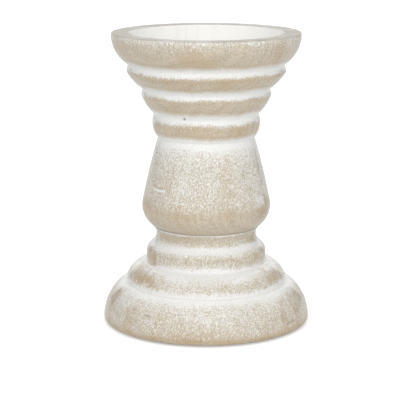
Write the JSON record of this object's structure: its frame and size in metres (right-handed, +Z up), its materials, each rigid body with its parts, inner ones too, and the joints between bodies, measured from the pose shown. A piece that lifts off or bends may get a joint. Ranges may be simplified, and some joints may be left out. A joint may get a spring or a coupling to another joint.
{
  "type": "pillar candle holder",
  "caption": "Turned wooden pillar-candle holder: a shallow round cup on stacked rings, a tapered vase stem and a stepped, domed foot, with a whitewashed finish.",
  "frame": {"origin": "centre of the foot on the table, on the turning axis: z = 0 is the underside of the felt pads", "axes": "+Z up along the turning axis, towards the candle; the turned shape is round, and +X and +Y only point between felt pads"},
  "size_m": [0.1084, 0.1084, 0.1524],
  "materials": {
    "whitewashed_wood": "pale turned hardwood with a rubbed white wash that stays in the pores, coves and grooves",
    "dowel_wood": "bare fluted hardwood, glued",
    "felt": "pressed felt, self-adhesive"
  },
  "bodies": {
    "root": {"cup": "whitewashed_wood", "stem": "whitewashed_wood", "foot": "whitewashed_wood", "upper_dowel": "dowel_wood", "lower_dowel": "dowel_wood", "felt_pad_1": "felt", "felt_pad_2": "felt", "felt_pad_3": "felt", "felt_pad_4": "felt"}
  },
  "joints": []
}
